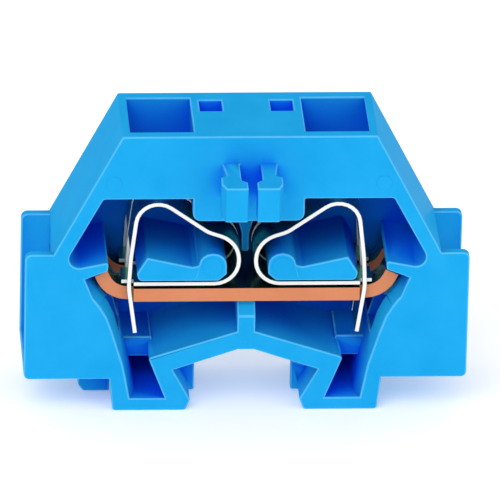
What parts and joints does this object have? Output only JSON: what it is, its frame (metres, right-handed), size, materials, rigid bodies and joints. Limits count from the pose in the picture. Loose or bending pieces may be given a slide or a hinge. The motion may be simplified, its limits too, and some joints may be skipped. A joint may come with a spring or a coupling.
{
  "type": "din rail terminal block",
  "caption": "Blue open-sided terminal block for a mini rail, with cage clamp springs on a common current bar and snap pegs for the next block.",
  "frame": {"origin": "middle of the box around the block and its pegs, on the plane of the rail feet's undersides", "axes": "+X along the conductors, +Y from the open working side to the closed rear face, +Z from the rail to the screwdriver openings"},
  "size_m": [0.0494, 0.0186, 0.0335],
  "materials": {
    "blue_moulding": "satin moulded polyamide",
    "current_bar": "tinned copper with bare cut edges",
    "steel": "bent spring steel strip with bright cut edges"
  },
  "bodies": {
    "block": {"housing": "blue_moulding", "current_bar": "current_bar", "spring_base_left_front": "steel", "spring_base_left_rear": "steel", "spring_base_right_front": "steel", "spring_base_right_rear": "steel"},
    "clamp_left_front": {"spring_clamp_left_front": "steel"},
    "clamp_left_rear": {"spring_clamp_left_rear": "steel"},
    "clamp_right_front": {"spring_clamp_right_front": "steel"},
    "clamp_right_rear": {"spring_clamp_right_rear": "steel"}
  },
  "joints": [
    {"name": "clamp_left_front_flex", "type": "hinge", "parent": "block", "child": "clamp_left_front", "pos_m": [-0.0039, 0.00017, 0.0143], "axis": [0, -1, 0], "range_deg": [0, 10], "stiffness_Nm_per_rad": 0.05, "springref_deg": -11.46},
    {"name": "clamp_left_rear_flex", "type": "hinge", "parent": "block", "child": "clamp_left_rear", "pos_m": [-0.0039, 0.00562, 0.0143], "axis": [0, -1, 0], "range_deg": [0, 10], "stiffness_Nm_per_rad": 0.05, "springref_deg": -11.46},
    {"name": "clamp_right_front_flex", "type": "hinge", "parent": "block", "child": "clamp_right_front", "pos_m": [0.0039, 0.00017, 0.0143], "axis": [0, 1, 0], "range_deg": [0, 10], "stiffness_Nm_per_rad": 0.05, "springref_deg": -11.46},
    {"name": "clamp_right_rear_flex", "type": "hinge", "parent": "block", "child": "clamp_right_rear", "pos_m": [0.0039, 0.00562, 0.0143], "axis": [0, 1, 0], "range_deg": [0, 10], "stiffness_Nm_per_rad": 0.05, "springref_deg": -11.46}
  ]
}
